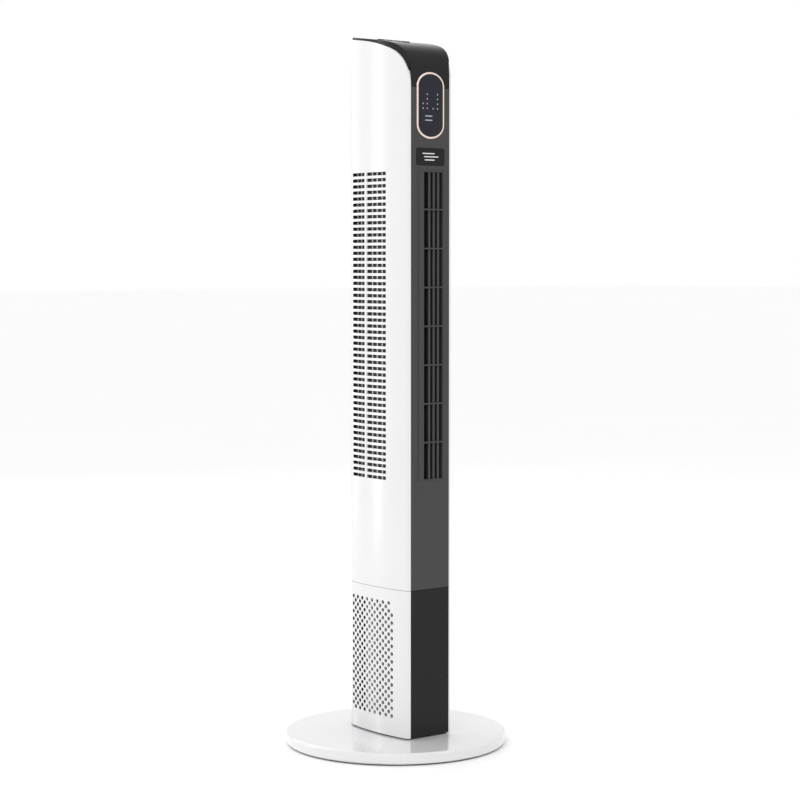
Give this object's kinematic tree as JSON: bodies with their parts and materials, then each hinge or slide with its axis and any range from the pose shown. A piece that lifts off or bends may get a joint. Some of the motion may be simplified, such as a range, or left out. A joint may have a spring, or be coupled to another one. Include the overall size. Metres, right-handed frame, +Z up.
{
  "type": "tower fan",
  "caption": "Slim oscillating tower fan on a round weighted foot, with a cross-flow wheel, side intakes, front outlet grille, oval control panel and top keys.",
  "frame": {"origin": "on the floor at the centre of the round foot, on the swing axis", "axes": "+Z up, -Y towards the black air outlet; seen from the front, +X is on the right"},
  "size_m": [0.32, 0.32, 1.0241],
  "materials": {
    "white": "glossy white ABS",
    "black": "satin black ABS",
    "rose_gold": "rose gold plated trim",
    "display": "dark smoked acrylic",
    "indicator": "translucent light window",
    "rubber": "matt",
    "steel": "zinc plated",
    "iron": "primed",
    "grey": "moulded",
    "acetal": "moulded acetal",
    "filter": "woven filter mesh",
    "wheel": "moulded",
    "board": "lacquered circuit board",
    "parts": "components",
    "bronze": "sintered",
    "laminations": "steel laminations"
  },
  "bodies": {
    "base": {"base_shell": "white", "base_bottom_plate": "grey", "ballast_plate": "iron", "rubber_feet": "rubber", "base_screws": "steel", "pivot_post": "grey", "pivot_screws": "steel", "slide_ring": "acetal", "cord_grommet": "rubber", "sun_gear": "acetal", "pivot_nut": "steel"},
    "tower": {"turntable": "grey", "swing_motor": "steel", "swing_motor_screws": "steel", "turntable_screws": "steel", "lower_shell": "white", "left_vent_panel": "white", "right_vent_panel": "white", "lower_front_panel": "black", "power_board": "board", "power_board_parts": "parts", "power_board_screws": "steel", "joining_frame": "grey", "upper_shell": "white", "left_intake_grille": "white", "right_intake_grille": "white", "rear_intake_grille": "white", "front_panel": "black", "badge_plate": "black", "outlet_grille": "black", "control_bezel": "rose_gold", "control_lens": "display", "indicator_windows": "indicator", "display_board": "board", "indicator_leds": "indicator", "top_cap": "black", "key_board": "board", "key_switches": "parts", "air_duct": "grey", "dust_filter": "filter", "bearing_seat": "rubber", "upper_bearing": "bronze", "motor_housing": "steel", "motor_bearings": "bronze", "motor_stator": "laminations", "motor_dampers": "rubber", "motor_screws": "steel", "housing_screws": "steel"},
    "wheel": {"cross_flow_wheel": "wheel", "wheel_spindle": "steel", "wheel_coupling": "rubber", "motor_rotor": "laminations", "motor_shaft": "steel"},
    "pinion": {"drive_pinion": "acetal"},
    "power_button": {"power_key": "black"},
    "speed_button": {"speed_key": "black"},
    "timer_button": {"timer_key": "black"},
    "swing_button": {"swing_key": "black"}
  },
  "joints": [
    {"name": "swing", "type": "hinge", "parent": "base", "child": "tower", "pos_m": [0, 0, 0.022], "axis": [0, 0, 1], "range_deg": [-40, 40]},
    {"name": "wheel_spin", "type": "hinge", "parent": "tower", "child": "wheel", "pos_m": [0, 0.014, 0.6], "axis": [0, 0, 1], "continuous": true},
    {"name": "pinion_spin", "type": "hinge", "parent": "tower", "child": "pinion", "pos_m": [0, 0.0345, 0.036], "axis": [0, 0, 1], "range_deg": [-93, 93]},
    {"name": "power_press", "type": "slide", "parent": "tower", "child": "power_button", "axis": [0, 0.1338, -0.991], "range_m": [0, 0.001], "stiffness_N_per_m": 900, "springref_m": -0.0005},
    {"name": "speed_press", "type": "slide", "parent": "tower", "child": "speed_button", "axis": [0, 0.1338, -0.991], "range_m": [0, 0.001], "stiffness_N_per_m": 900, "springref_m": -0.0005},
    {"name": "timer_press", "type": "slide", "parent": "tower", "child": "timer_button", "axis": [0, 0.1338, -0.991], "range_m": [0, 0.001], "stiffness_N_per_m": 900, "springref_m": -0.0005},
    {"name": "swing_press", "type": "slide", "parent": "tower", "child": "swing_button", "axis": [0, 0.1338, -0.991], "range_m": [0, 0.001], "stiffness_N_per_m": 900, "springref_m": -0.0005}
  ],
  "couplings": [
    {"joint": "pinion_spin", "follows": "swing", "ratio": 2.2857}
  ]
}
